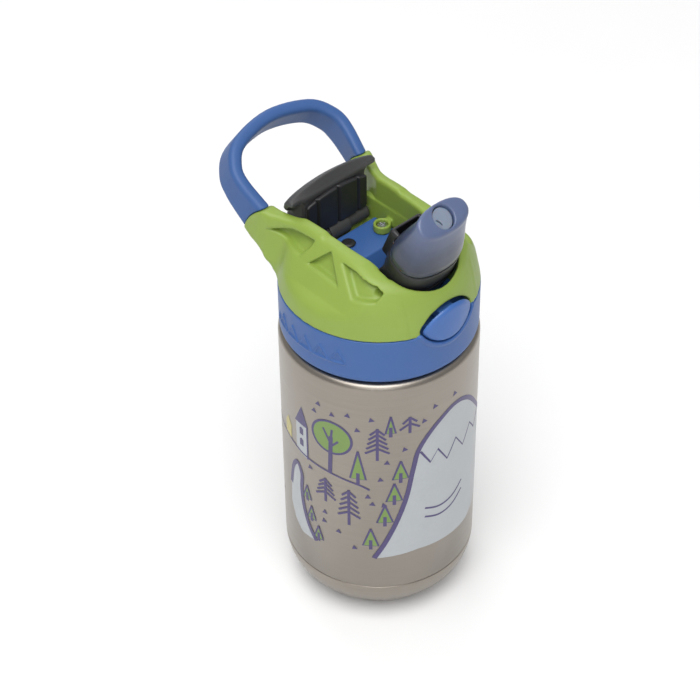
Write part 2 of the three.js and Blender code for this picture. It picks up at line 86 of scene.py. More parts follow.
class Paint:
    """A material with one Principled shader; constants go straight on its sockets."""

    def __init__(self, name, **constants):
        self.material = bpy.data.materials.new(name)
        self.material.use_nodes = True
        self.tree = self.material.node_tree
        self.shader = self.tree.nodes["Principled BSDF"]
        for socket, value in constants.items():
            self.shader.inputs[socket.replace("_", " ")].default_value = value

    def node(self, kind, settings=None, inputs=None, output=0):
        made = self.tree.nodes.new(kind)
        for setting, value in (settings or {}).items():
            setattr(made, setting, value)
        for key, value in (inputs or {}).items():
            self.plug(made.inputs[key], value)
        return Value(self, made.outputs[output])

    def plug(self, socket, value):
        if isinstance(value, Value):
            self.tree.links.new(value.socket, socket)
        else:
            socket.default_value = value

    def feed(self, **values):
        for socket, value in values.items():
            self.plug(self.shader.inputs[socket.replace("_", " ")], value)
        return self.material

    def place(self):
        return self.node("ShaderNodeTexCoord", output=3)

    def stretched(self, scale):
        inputs = {"Vector": self.place(), "Scale": scale}
        return self.node("ShaderNodeMapping", {"vector_type": "POINT"}, inputs)

    def noise(self, size_mm, detail=2.0, where=None):
        inputs = {"Vector": where or self.place(), "Scale": 1 / (size_mm * MM), "Detail": detail}
        return self.node("ShaderNodeTexNoise", inputs=inputs)

    def blend(self, share, first, second):
        inputs = {"Factor": share, 6: first, 7: second}
        settings = {"data_type": "RGBA", "clamp_factor": True}
        return self.node("ShaderNodeMix", settings, inputs, output=2)

    def bump(self, height, distance_mm, strength=1.0):
        inputs = {"Height": height, "Distance": distance_mm * MM, "Strength": strength}
        return self.node("ShaderNodeBump", inputs=inputs)


def shade(color, factor):
    return (color[0] * factor, color[1] * factor, color[2] * factor, 1.0)


def table_finish():
    paint = Paint("pale_table", Roughness=0.8)
    mottle = paint.noise(60)
    return paint.feed(Base_Color=paint.blend(mottle, (0.86, 0.86, 0.86, 1), (0.88, 0.88, 0.88, 1)))


def studio():
    bpy.ops.mesh.primitive_plane_add(size=8)
    table = bpy.context.object
    table.name = "table_top"
    table.data.materials.append(table_finish())
    world = bpy.data.worlds.new("studio")
    world.use_nodes = True
    world.node_tree.nodes["Background"].inputs["Color"].default_value = (1, 1, 1, 1)
    world.node_tree.nodes["Background"].inputs["Strength"].default_value = 0.42
    bpy.context.scene.world = world
    lamps = (
        ("key", (-0.45, -0.35, 1.5), 1.2, 22),
        ("fill", (-0.9, -0.9, 0.7), 0.8, 3),
        ("rim", (0.5, 1.0, 1.1), 0.9, 5),
    )
    for name, spot, size, power in lamps:
        lamp = bpy.data.lights.new(name, "AREA")
        lamp.size = size
        lamp.energy = power
        holder = bpy.data.objects.new(name, lamp)
        holder.location = spot
        aim = Vector((0, 0, 0.09)) - Vector(spot)
        holder.rotation_euler = aim.to_track_quat("-Z", "Y").to_euler()
        bpy.context.scene.collection.objects.link(holder)
    bpy.context.scene.view_settings.view_transform = "Standard"


def camera():
    azimuth, elevation, roll = math.radians(-42.5), math.radians(41.6), math.radians(-0.74)
    flat_reach, distance = math.cos(elevation), 0.752
    back = Vector((math.sin(azimuth) * flat_reach, -math.cos(azimuth) * flat_reach, math.sin(elevation)))
    right = Vector((math.cos(azimuth), math.sin(azimuth), 0))
    up = back.cross(right)
    aim = Vector((0, 0, 0.1074)) - 0.01059 * right
    turned_right = right * math.cos(roll) + up * math.sin(roll)
    turned_up = up * math.cos(roll) - right * math.sin(roll)
    holder = bpy.data.objects.new("camera", bpy.data.cameras.new("camera"))
    holder.data.sensor_width = 36
    holder.data.lens = 106.05
    holder.data.clip_start = 0.01
    turn = Matrix((turned_right, turned_up, back)).transposed()
    holder.matrix_world = Matrix.Translation(aim + distance * back) @ turn.to_4x4()
    bpy.context.scene.collection.objects.link(holder)
    bpy.context.scene.camera = holder


studio()
camera()

# ---- Steel bottle: a spun base cup welded to a drawn outer shell with a rolled neck thread.
# Brushed stainless, with fine lines round the body; the weld shows as a faint line.
STEEL_COLOR = (0.31, 0.28, 0.245)
BODY_R = 36.5
WALL = 0.6
BASE_CORNER = 19.0
NECK_R = 29.5
NECK_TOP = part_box("outer_shell")[1].z / MM
LEAD = 8.0


def steel_finish(name, color, line_depth):
    paint = Paint(name, Metallic=1.0)
    lines = paint.noise(0.9, 3.0, paint.stretched((0.035, 0.035, 1.0)))
    cloud = paint.noise(24)
    tone = 0.72 * lines + 0.28 * cloud
    return paint.feed(
        Base_Color=paint.blend(tone, shade(color, 0.86), shade(color, 1.12)),
        Roughness=0.27 + 0.16 * lines,
        Normal=paint.bump(lines, line_depth),
    )


def mesh_piece(name, points, faces, material, smooth=True):
    """A mesh from points in millimetres, cleaned and facing out."""
    mesh = bpy.data.meshes.new(name)
    mesh.from_pydata([Vector(point) * MM for point in points], [], faces)
    shape = bmesh.new()
    shape.from_mesh(mesh)
    bmesh.ops.remove_doubles(shape, verts=shape.verts, dist=1e-6)
    bmesh.ops.recalc_face_normals(shape, faces=shape.faces)
    shape.to_mesh(mesh)
    shape.free()
    if smooth:
        mesh.shade_smooth()
    mesh.materials.append(material)
    made = bpy.data.objects.new(name, mesh)
    bpy.context.scene.collection.objects.link(made)
    return made


def arc(radius, centre, start, end, steps=12):
    angles = np.radians(np.linspace(start, end, steps + 1))
    return [(centre[0] + radius * math.cos(a), centre[1] + radius * math.sin(a)) for a in angles]


def turned(name, profile, material, sides=144, centre=(0, 0)):
    """A turned piece from a closed [radius, height] profile; points on the axis become a pole."""
    count = len(profile)
    points = []
    for side in range(sides):
        angle = 2 * math.pi * side / sides
        spin = (math.cos(angle), math.sin(angle))
        points += [(centre[0] + r * spin[0], centre[1] + r * spin[1], z) for r, z in profile]
    faces = []
    for side in range(sides):
        here, there = side * count, (side + 1) % sides * count
        for i in range(count):
            j = (i + 1) % count
            if profile[i][0] > 1e-6 or profile[j][0] > 1e-6:
                faces.append((here + i, there + i, there + j, here + j))
    return mesh_piece(name, points, faces, material)


def thread_ridges(name, wall, crest, start, material):
    """The two ridges of the two-start thread, tapering to nothing at each end."""
    points, faces = [], []
    steps = 72
    for first_turn in (0.0, 0.5):
        for i in range(steps + 1):
            share = 0.6 * i / steps
            angle = 2 * math.pi * (share + first_turn)
            swell = min(1.0, 6 * i / steps, 6 * (steps - i) / steps)
            tip = wall + (crest - wall) * max(0.04, swell)
            for r, dz in ((wall, -1.3), (tip, -0.6), (tip, 0.6), (wall, 1.3)):
                points.append((r * math.cos(angle), r * math.sin(angle), start + LEAD * share + dz))
            if i:
                a = len(points) - 8
                faces += [(a + k, a + (k + 1) % 4, a + 4 + (k + 1) % 4, a + 4 + k) for k in range(4)]
        first = len(points) - 4 * (steps + 1)
        faces += [tuple(range(first, first + 4)), tuple(range(len(points) - 4, len(points)))]
    return mesh_piece(name, points, faces, material)


steel = steel_finish("brushed_steel", STEEL_COLOR, 0.006)


def base_cup():
    centre = (BODY_R - BASE_CORNER, BASE_CORNER)
    outside = arc(BASE_CORNER, centre, -90, -1.2, 24) + [(BODY_R - 0.12, BASE_CORNER)]
    inside = arc(BASE_CORNER - WALL, centre, 0, -90, 16)
    dimple = [(11.5, 0), (11.0, 0.35), (10.0, 0.45), (9.0, 0.35), (8.5, 0)]
    profile = [(0, WALL + 0.5), (0, 0)] + dimple[::-1] + outside + inside
    return turned("steel_base", profile, steel)


def steel_shell():
    low = BASE_CORNER + 0.25
    shoulder = [(BODY_R, 119.2)] + arc(2.6, (BODY_R - 2.6, 119.6), 0, 80, 8) + [(31.0, 122.7)]
    neck = arc(1.2, (NECK_R + 1.2, 123.9), -90, -180, 6)
    neck += [(NECK_R, NECK_TOP - 0.3), (NECK_R - 0.3, NECK_TOP)]
    inner = [(NECK_R - WALL, NECK_TOP), (NECK_R - WALL, 122.1), (33.5, 122.0), (BODY_R - WALL, 119.0),
             (BODY_R - WALL, low)]
    return turned("steel_body", [(BODY_R - 0.12, low), (BODY_R, low + 0.2)] + shoulder + neck + inner, steel)


for piece, node in ((base_cup(), "base_cup"), (steel_shell(), "outer_shell")):
    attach(piece, "bottle")
    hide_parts(node)
neck_thread = thread_ridges("steel_neck_thread", NECK_R - 0.3, NECK_R + 1.3, 127.6, steel)
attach(neck_thread, "bottle")

# ---- Flask: the bare steel inner wall, rolled over the neck's rim, with the getter under it.
# It hangs from the rim, and the space round it is the vacuum.
FLASK_FLOOR = 9.0
flask_steel = steel_finish("flask_steel", (0.62, 0.61, 0.59), 0.003)


def flask():
    lip = NECK_TOP + 0.3
    centre = (25.2, 17.0)
    outside = arc(8, centre, -90, 0, 8) + [(33.2, 114.5), (28.4, 119.5)]
    outside += [(28.4, lip), (29.2, lip), (29.5, lip + 0.3), (29.2, lip + WALL)]
    inside = [(28.0, lip + WALL), (27.8, lip + 0.3), (27.8, 119.3), (32.6, 114.3)]
    inside += arc(8 - WALL, centre, 0, -90, 8)
    profile = [(0, FLASK_FLOOR)] + outside + inside + [(0, FLASK_FLOOR + WALL)]
    return turned("flask_wall", profile, flask_steel, 96)


inner = flask()
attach(inner, "bottle")
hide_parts("inner_flask")
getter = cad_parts["getter_capsule"]
getter.data.materials.clear()
getter.data.materials.append(flask_steel)

# ---- Print: one layer of flat ink in four colours, screened on the steel before it is lacquered.
# A plain landscape: firs, a round tree, a house, small triangles and two snowy hills.
PRINT_R = BODY_R + 0.03
PRINT_EDGE = 2.4  # the longest edge that still follows the steel's curve


def ink(name, color):
    paint = Paint(name, Coat_Weight=0.3, Coat_Roughness=0.25)
    speckle = paint.noise(1.1, 3.0)
    edge = paint.noise(9)
    return paint.feed(
        Base_Color=paint.blend(0.6 * speckle + 0.4 * edge, shade(color, 0.9), shade(color, 1.08)),
        Roughness=0.42 + 0.12 * speckle,
        Normal=paint.bump(speckle, 0.01),
    )


inks = {
    "white": ink("ink_white", (0.40, 0.425, 0.445)),
    "violet": ink("ink_violet", (0.055, 0.04, 0.14)),
    "leaf": ink("ink_leaf", (0.155, 0.255, 0.055)),
    "straw_yellow": ink("ink_yellow", (0.48, 0.42, 0.14)),
}
LAYERS = {"white": 0.0, "straw_yellow": 0.02, "leaf": 0.02, "violet": 0.04}  # height of each ink
artwork = {name: [] for name in inks}  # outlines as [degrees from the front, height] points


def flat(color, outline):
    artwork[color].append(outline)


def line(points, width=1.0, color="violet"):
    """A stroke through the points, as one ribbon with a blunt end."""
    scale = math.radians(1) * BODY_R
    centre = [Vector((a * scale, z)) for a, z in points]
    left, right = [], []
    for i, point in enumerate(centre):
        along = (centre[min(i + 1, len(centre) - 1)] - centre[max(i - 1, 0)]).normalized()
        side = Vector((-along.y, along.x)) * width / 2
        left.append(point + side)
        right.append(point - side)
    for i in range(len(centre) - 1):
        corners = (left[i], left[i + 1], right[i + 1], right[i])
        flat(color, [(p.x / scale, p.y) for p in corners])


def spline(points, steps=8):
    """A smooth run of points through the given ones."""
    smooth = []
    for i in range(len(points) - 1):
        p = [Vector(points[min(max(i + k, 0), len(points) - 1)]) for k in (-1, 0, 1, 2)]
        for t in np.linspace(0, 1, steps, endpoint=False):
            bend = (p[2] - p[0]) * t + (2 * p[0] - 5 * p[1] + 4 * p[2] - p[3]) * t * t
            smooth.append(p[1] + 0.5 * (bend + (3 * p[1] - p[0] - 3 * p[2] + p[3]) * t ** 3))
    return smooth + [Vector(points[-1])]


def fir(angle, low, high, tiers):
    """A fir drawn as a trunk with pairs of slanting twigs."""
    line([(angle, low), (angle, high)], 1.1)
    for tier in range(tiers):
        top = high - (high - low) * (0.04 + 0.72 * tier / tiers)
        reach = 4.2 + 3.4 * tier / tiers
        for way in (-1, 1):
            line([(angle, top), (angle + way * reach, top - 2.6)], 0.9)


def leafy_fir(angle, low, high, half):
    """A fir drawn as a green triangle with a violet outline on a short trunk."""
    foot = low + 0.18 * (high - low)
    corners = [(angle, high), (angle - half, foot), (angle + half, foot)]
    flat("leaf", corners)
    line(corners + corners[:1], 0.8)
    line([(angle, low), (angle, foot + 3)], 1.3)


def round_tree(angle, height, half, foot):
    ring = [(angle + half * math.cos(t), height + 7.6 * math.sin(t)) for t in np.linspace(0, 2 * math.pi, 49)]
    flat("leaf", ring[:-1])
    line(ring, 1.0)
    line([(angle - 1, foot), (angle, height + 0.5)], 1.7)
    line([(angle - 0.3, height - 3), (angle - 5, height + 3.5)], 0.9)
    line([(angle, height - 1), (angle + 0.8, height + 4)], 0.9)
    line([(angle - 0.3, height - 4.5), (angle + 4.6, height - 1)], 0.9)


def house(angle, foot):
    wall = [(angle - 5, foot), (angle + 5, foot - 1.5), (angle + 5, foot + 14), (angle - 5, foot + 14)]
    flat("white", wall)
    flat("violet", [(angle - 6, foot + 14), (angle + 6, foot + 14), (angle + 0.5, foot + 23)])
    line([(angle + 5, foot - 1.5), (angle + 5, foot + 14)], 0.8)
    for up in (3.5, 9.0):
        flat("violet", [(angle - 1.6, foot + up), (angle + 1.6, foot + up), (angle + 1.6, foot + up + 3),
                        (angle, foot + up + 3.8), (angle - 1.6, foot + up + 3)])


def snow_hill(edge, foot, firs):
    """A white hill with a violet outline and small firs standing down its slope."""
    slope = spline(edge)
    flat("white", slope + foot)
    line(slope, 1.9)
    for angle, low, size in firs:
        leafy_fir(angle, low, low + size, 0.42 * size)


def scenery():
    line(spline([(-128, 81), (-109, 79.8), (-90, 77.5), (-73, 76), (-56, 73.6), (-49, 71.3)]), 0.8)
    round_tree(-71.8, 94, 12.6, 76)
    house(-94, 78)
    flat("straw_yellow", [(-112, 79.8), (-105, 79.2), (-104.5, 86), (-108.5, 89.5), (-112, 86)])
    leafy_fir(-55.7, 73.4, 90.4, 4.6)
    leafy_fir(-37.1, 98, 108, 2.9)
    fir(-44.6, 86.5, 102.3, 5)
    fir(-61.3, 51.5, 69.8, 5)
    fir(-76.2, 60, 72, 4)
    fir(-26.1, 98.8, 106.6, 2)
    slope = [(-46.5, 35.3), (-40, 43.6), (-33, 55), (-27.5, 67), (-23.6, 81), (-20, 90), (-10, 98.5),
             (4, 103.5), (18, 100), (34, 88), (48, 78)]
    foot = [(52, 60), (44, 40), (20, 36), (-20, 37.4), (-42, 35.6)]
    snow_hill(slope, foot, [(-31.2, 74.5, 11), (-34.8, 63.5, 11), (-40.2, 52.5, 11), (-48.5, 40, 11)])
    line([(-19.5, 88), (-13, 81), (-8, 86), (-1, 78.5), (6, 86), (13, 79), (21, 86), (28, 80), (35, 85)], 1.0)
    for low in (51.5, 56):
        line(spline([(-16, low + 2), (-6, low), (4, low + 1), (13, low + 5)]), 0.9)
    drift = [(-84, 35.5), (-90, 42), (-94, 50), (-95.5, 58), (-95, 66), (-99, 70.5), (-104, 66), (-107, 56)]
    bank = [(-108, 46), (-103, 39), (-96, 35)]
    snow_hill(drift, bank, [(-90.5, 54.5, 8), (-87.2, 45, 8), (-82, 36.5, 8)])


def wrapped(name, outlines, color):
    """Flat outlines cut into small faces and wrapped on the steel."""
    shape = bmesh.new()
    scale = math.radians(1) * BODY_R
    for outline in outlines:
        corners = [shape.verts.new((a * scale, z, 0)) for a, z in outline]
        shape.faces.new(corners)
    bmesh.ops.triangulate(shape, faces=shape.faces[:])
    for _ in range(6):
        long = [edge for edge in shape.edges if edge.calc_length() > PRINT_EDGE]
        if long:
            bmesh.ops.subdivide_edges(shape, edges=long, cuts=1, use_grid_fill=False)
            bmesh.ops.triangulate(shape, faces=shape.faces[:])
    radius = PRINT_R + LAYERS[color]
    for vertex in shape.verts:
        angle = vertex.co.x / BODY_R
        vertex.co = Vector((radius * math.sin(angle), -radius * math.cos(angle), vertex.co.y)) * MM
    mesh = bpy.data.meshes.new(name)
    shape.to_mesh(mesh)
    shape.free()
    mesh.materials.append(inks[color])
    made = bpy.data.objects.new(name, mesh)
    bpy.context.scene.collection.objects.link(made)
    return made


MARK_R = 1.35


def scatter():
    """Places of the small violet triangles: listed at the front, then a regular drift round the back."""
    marks = [(-83, 103.7), (-80, 107.9), (-71, 105.3), (-61.5, 107), (-56, 100.7), (-48, 106.3),
             (-10.6, 107.8), (-17.5, 102.7), (-39.1, 85.2), (-42.8, 76.7), (-50, 67.7), (-47.4, 64.1),
             (-40.8, 63.5), (-77, 54), (-77.7, 49.1), (-68, 46.5), (-58.2, 39.8), (-87.3, 73.3),
             (4, 108.5), (-29, 91)]
    for step in range(26):
        marks.append((66 + 6.8 * step, 42 + (step * 37) % 66))
    return marks


def instanced_triangles(marks):
    """Geometry Nodes put one small triangle at every mark, turned by a fixed seed, as one flat mesh."""
    tree = bpy.data.node_groups.new("confetti", "GeometryNodeTree")
    tree.interface.new_socket("Geometry", in_out="INPUT", socket_type="NodeSocketGeometry")
    tree.interface.new_socket("Geometry", in_out="OUTPUT", socket_type="NodeSocketGeometry")
    size = tree.interface.new_socket("Triangle radius", in_out="INPUT", socket_type="NodeSocketFloat")
    add = tree.nodes.new
    source, sink = add("NodeGroupInput"), add("NodeGroupOutput")
    circle = add("GeometryNodeMeshCircle")
    circle.fill_type = "NGON"
    circle.inputs["Vertices"].default_value = 3
    turn = add("FunctionNodeRandomValue")
    turn.data_type = "FLOAT_VECTOR"
    turn.inputs[0].default_value = (0, 0, math.radians(80))
    turn.inputs[1].default_value = (0, 0, math.radians(108))
    turn.inputs["Seed"].default_value = 4
    place = add("GeometryNodeInstanceOnPoints")
    realize = add("GeometryNodeRealizeInstances")
    coat = add("GeometryNodeSetMaterial")
    coat.inputs["Material"].default_value = inks["violet"]
    for start, end in (
        (source.outputs["Geometry"], place.inputs["Points"]),
        (circle.outputs["Mesh"], place.inputs["Instance"]),
        (source.outputs["Triangle radius"], circle.inputs["Radius"]),
        (turn.outputs[0], place.inputs["Rotation"]),
        (place.outputs["Instances"], realize.inputs["Geometry"]),
        (realize.outputs["Geometry"], coat.inputs["Geometry"]),
        (coat.outputs["Geometry"], sink.inputs["Geometry"]),
    ):
        tree.links.new(start, end)
    mesh = bpy.data.meshes.new("marks")
    scale = math.radians(1) * BODY_R
    mesh.from_pydata([(a * scale, z, 0) for a, z in marks], [], [])
    holder = bpy.data.objects.new("marks", mesh)
    bpy.context.scene.collection.objects.link(holder)
    modifier = holder.modifiers.new("confetti", "NODES")
    modifier.node_group = tree
    modifier[size.identifier] = MARK_R
    ready = holder.evaluated_get(bpy.context.evaluated_depsgraph_get())
    flat_mesh = bpy.data.meshes.new_from_object(ready)
    corners = [[(flat_mesh.vertices[i].co.x / scale, flat_mesh.vertices[i].co.y) for i in face.vertices]
               for face in flat_mesh.polygons]
    bpy.data.objects.remove(holder)
    bpy.data.meshes.remove(flat_mesh)
    return corners


scenery()
for triangle in instanced_triangles(scatter()):
    flat("violet", triangle)
for color, outlines in artwork.items():
    layer = wrapped("print_" + color, outlines, color)
    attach(layer, "bottle")

# ---- Lid collar: the blue moulding that screws on the neck; its floor shows between the ridges.
# Moulded pieces are described by how far a point is from their surface and skinned from that.
BLUE = (0.038, 0.108, 0.315)
COLLAR_R, COLLAR_LOW, COLLAR_TOP = 36, 123.3, 142.0
DECK_LOW, DECK_TOP, BLOCK_TOP = 141.0, 144.0, 150
TOOTH_PITCH, TOOTH_LOW, TOOTH_TOP = 7.0, 130.2, 137.0
BUTTON_Z, BUTTON_ARC, BUTTON_HALF = 143.6, 13.6, 7.2
SPOUT_Y, SPOUT_Z = -18.0, 155.0
COVER_Y, COVER_Z = 23.0, 151.0


def moulded_finish(name, color, rough=0.36, grain=0.012):
    paint = Paint(name, Specular_IOR_Level=0.45, Subsurface_Weight=0.06, Subsurface_Scale=0.002)
    flow = paint.noise(14, 2.0)
    spark = paint.noise(0.35, 2.0)
    return paint.feed(
        Base_Color=paint.blend(0.7 * flow + 0.3 * spark, shade(color, 0.93), shade(color, 1.07)),
        Roughness=rough + 0.1 * spark + 0.06 * flow,
        Normal=paint.bump(spark, grain),
    )


def either(a, b, fillet=0.0):
    """Union of two distance fields, with a fillet in the corner between them."""
    return -both(-a, -b, fillet)


def both(a, b, fillet=0.0):
    """Where two distance fields meet, with a rounded edge between them."""
    if not fillet:
        return np.maximum(a, b)
    share = np.clip(0.5 + 0.5 * (a - b) / fillet, 0, 1)
    return a * share + b * (1 - share) + fillet * share * (1 - share)


def without(body, tool, fillet=0.0):
    return both(body, -tool, fillet)


def outline_distance(u, v, corners):
    """Distance to a closed outline in a plane, negative inside it."""
    nearest = np.inf
    inside = np.zeros(np.broadcast(u, v).shape, bool)
    for (u0, v0), (u1, v1) in zip(corners, corners[1:] + corners[:1]):
        du, dv = u1 - u0, v1 - v0
        share = np.clip(((u - u0) * du + (v - v0) * dv) / (du * du + dv * dv), 0, 1)
        nearest = np.minimum(nearest, np.hypot(u - u0 - share * du, v - v0 - share * dv))
        if dv:
            inside ^= ((v0 > v) != (v1 > v)) & (u < du * (v - v0) / dv + u0)
    return np.where(inside, -nearest, nearest)


def slab(value, low, high):
    return np.maximum(low - value, value - high)


def moulded(name, shape, low, high, cell, material, place=None):
    """Skins the zero surface of a distance field over a box, in millimetres."""
    counts = [int(math.ceil((b - a) / cell)) + 1 for a, b in zip(low, high)]
    axes = [a + cell * np.arange(n, dtype=np.float32) for a, n in zip(low, counts)]
    x, y, z = np.meshgrid(*axes, indexing="ij", sparse=True)
    field = np.broadcast_to(shape(x, y, z), counts).astype(np.float32)
    grid = openvdb.FloatGrid(3.0)
    grid.copyFromArray(np.clip(field / cell, -2.9, 2.9))
    points, quads = grid.convertToQuads(0.0)
    points = points * cell + np.array(low)
    if place is not None:
        points = place(points)
    return mesh_piece(name, points.tolist(), quads.tolist(), material)


def lens(x, z, grow=0.0):
    """The pointed oval of the button, seen from the front."""
    rise = BUTTON_ARC - BUTTON_HALF
    upper = np.hypot(x, z - BUTTON_Z + rise) - BUTTON_ARC
    lower = np.hypot(x, z - BUTTON_Z - rise) - BUTTON_ARC
    return both(upper, lower, 1.2) - grow


def collar_shape(x, y, z):
    r = np.hypot(x, y)
    around = np.degrees(np.arctan2(x, -y))
    along = np.radians(around) * COLLAR_R
    offset = (along + TOOTH_PITCH / 2) % TOOTH_PITCH - TOOTH_PITCH / 2
    tooth = np.maximum(1.7 * np.abs(offset) + z - TOOTH_TOP, TOOTH_LOW - z)
    stroke = np.abs(tooth + 0.8) - 0.5
    marked = np.clip(0.5 - np.maximum(stroke, np.abs(around + 91) * 0.63 - 18) / 0.5, 0, 1)
    band = both(r - COLLAR_R - 0.6 * marked, COLLAR_LOW - z, 2.2)
    band = both(band, z - COLLAR_TOP, 0.5)
    lip = both(both(lens(x, z, 1.9), r - 36.9, 1.2), np.maximum(y + 30, z - 143.2), 1.0)
    body = either(band, lip, 1.2)
    body = np.maximum(body, np.where(z < DECK_LOW, 31.5 - r, -5.0))
    deck = both(both(r - 33, z - DECK_TOP), DECK_LOW - z)
    front = outline_distance(y, z, [(0.6, 143), (0.6, 144.4), (4, BLOCK_TOP), (18.6, BLOCK_TOP), (18.6, 143)])
    block = both(front, np.abs(x) - 15.7, 0.6)
    hollow = np.maximum(np.abs(x) - 9, np.maximum(slab(y, 6, 16.6), slab(z, 139, 148)))
    body = either(either(body, deck), without(block, hollow), 0.8)
    turn = np.arctan2(y, x) / (2 * math.pi) % 0.5
    ridge_z = 125.6 + LEAD * turn
    ridge = np.maximum(np.abs(z - ridge_z) * 1.2 + (31.5 - r) * 0.6 - 1.3, np.maximum(30.3 - r, r - 32))
    body = either(body, np.where(turn < 0.49, ridge, 5.0))
    hood_trough = np.maximum(np.maximum(np.abs(x) - 8.2, slab(y, -18, 0.4)), 142.4 - z)
    body = without(body, hood_trough, 0.3)
    pocket = np.maximum(lens(x, z, 0.35), np.maximum(y + 28, 32.7 - r))
    return without(body, pocket, 0.4)


blue = moulded_finish("blue_moulding", BLUE)
collar = moulded("collar_moulding", collar_shape, (-38.4, -38.4, 122), (38.4, 38.4, 151.5), 0.42, blue)
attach(collar, "lid")
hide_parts("lid_collar")

# ---- Lid shell: the green moulding with two ridges, a round mouth for the spout and two rear arms.
# It is held to the collar by two screws in bosses beside the valley.
GREEN = (0.235, 0.335, 0.055)
SHELL_DOME = [(36, 142), (34.9, 147.8), (34.1, 151.5), (33.2, 154.5), (32.1, 157.5), (31.1, 159.6),
              (30.1, 161), (27.5, 164), (23.5, 167), (17, 171)]
RECESS_DEPTH = 2.5
PIN_HOLE_Y, PIN_HOLE_Z, PIN_HOLE_R = -21.2, 159.0, 1.7
BOSS_X, BOSS_Y, BOSS_TOP = 12, 11, 153.5
LOOP_TILT = (0.8, 0.6)  # along the loop's plane, in Y and Z
LOOP_HEIGHT = 107.2
LOOP_LINE = [(24, 108), (24, 121), (24.2, 126.8), (24.8, 137.8), (23.1, 144.7), (16.3, 151.2), (0, 154.6),
             (-16.3, 151.2)]


def loop_axes(y, z):
    """Along the loop's plane, and across it."""
    along = LOOP_TILT[0] * y + LOOP_TILT[1] * z
    across = LOOP_TILT[0] * z - LOOP_TILT[1] * y - LOOP_HEIGHT
    return along, across


def loop_band(x, along, across):
    """The carry loop's flat band, which leans outwards near the arms."""
    lean = 0.18 * np.clip((140 - along) / 15, 0, 1)
    side = np.abs(x) + lean * across
    nearest = np.inf
    points = [tuple(p) for p in spline(LOOP_LINE, 6) if p.x > -2]
    for (x0, s0), (x1, s1) in zip(points, points[1:]):
        dx, ds = x1 - x0, s1 - s0
        share = np.clip(((side - x0) * dx + (along - s0) * ds) / (dx * dx + ds * ds), 0, 1)
        nearest = np.minimum(nearest, np.hypot(side - x0 - share * dx, along - s0 - share * ds))
    return both(nearest - 2.5, np.abs(across) - 6.5, 2.4)


def joint_line(across):
    """How far along the loop's plane the green ends and the blue begins."""
    return 127.4 - 1.4 * (across / 6.5) ** 2


def recess(x, y, z, outline, body, depth):
    """A shallow pocket in the outside of a ridge, seen from the side."""
    pocket = both(outline_distance(y, z, outline), 17.6 - np.abs(x), 0.6)
    return both(pocket, -body - depth, 0.8)


def shell_shape(x, y, z):
    r = np.hypot(x, y)
    slope = [(-60, 120), (38, 120), (38, 146), (34.4, 149.4), (30.5, 151.6), (20.2, 166), (17.4, 167.6),
             (-60, 167.6)]
    side = [(-38, 120), (-38, 151), (-34, 156), (-31, 159.2), (-24, 161.8), (-12, 165), (2, 166.2),
            (24, 166.2), (32, 166.6), (44, 156), (35.8, 151.5), (35.8, 120)]
    dome = outline_distance(r, z, [(-5, 120), (36, 120)] + SHELL_DOME + [(-5, 171)])
    body = both(both(dome, outline_distance(np.abs(x), z, slope), 2.4), outline_distance(y, z, side), 2.0)
    plan = [(6, 8), (19.2, 8), (19.9, 16), (22.2, 22.5), (25.2, 29), (26.6, 33.5), (26.8, 50), (6, 50)]
    rear = [(8, 152), (20, 143.4), (26.8, 143.8), (29, 146.6), (31.4, 148.9), (35, 151.5), (38.2, 154.7),
            (46, 160.6), (38.6, 171), (33.6, 167.2), (24, 166.2), (8, 166)]
    spread = np.interp(z, [148, 160], [2.4, 0]) * np.interp(y, [16, 22, 30, 36], [0, 1, 1, 0])
    arm = both(outline_distance(np.abs(x) - spread, y, plan), outline_distance(y, z, rear), 2.2)
    along, across = loop_axes(y, z)
    root = both(loop_band(x, along, across), 119.5 - along, 3.0)
    skin = either(either(body, arm, 3.5), root, 2.5)
    half = np.interp(y, [-18, -2, 18.6, 21.6, 28, 33.5], [14.4, 16, 16.4, 17.6, 19.6, 20.5])
    middle = np.maximum(np.abs(x) - half, np.maximum(-20 - y, y - 18.9))
    behind = np.maximum(np.abs(x) - half, np.maximum(-20 - y, 147 - z))
    mouth = (np.hypot(x / 14.4, np.minimum(y + 21, 0) / 10.4) - 1) * 12
    mouth = np.maximum(mouth, y + 17)
    valley = either(either(middle, behind), mouth, 2.5)
    cheek = np.maximum(slab(np.abs(x), 16, 18.2), np.maximum(y - 26.6, z - 157))
    open_skin = either(without(skin, valley, 1.6), both(cheek, skin, 1.0), 0.6)
    leaf = [(29.4, 160.4), (20.4, 163.2), (9.8, 164.2), (10.4, 162.2), (12.9, 158.3), (22, 158.5)]
    middle_cut = [(8.3, 157.5), (1.6, 164), (-7.2, 156.8)]
    front_cut = [(-4.8, 163.2), (-15.1, 156.0), (-22.2, 156.8), (-23.0, 159.6), (-20.8, 161.2), (-12, 163.0)]
    for outline in (leaf, middle_cut, front_cut):
        open_skin = without(open_skin, recess(x, y, z, outline, skin, RECESS_DEPTH), 0.9)
    pin_hole = np.maximum(np.hypot(y - PIN_HOLE_Y, z - PIN_HOLE_Z) - PIN_HOLE_R, 16 - np.abs(x))
    open_skin = without(open_skin, pin_hole, 0.4)
    boss_r = np.hypot(np.abs(x) - BOSS_X, y - BOSS_Y)
    rib = np.maximum(slab(np.abs(x), 13, 17.5), slab(y, 9.6, 12.4))
    boss = np.maximum(either(boss_r - 3.2, rib, 0.8), slab(z, 150.2, BOSS_TOP))
    boss = without(both(boss, z - BOSS_TOP, 0.6), np.maximum(boss_r - 2.2, 150.9 - z), 0.3)
    whole = either(open_skin, boss, 0.5)
    window = np.maximum(lens(x, z, 0.4), y + 27)
    whole = without(whole, window, 0.8)
    whole = both(whole, along - joint_line(across) + 0.1, 0.3)
    return both(whole, 142.25 - z, 0.5)


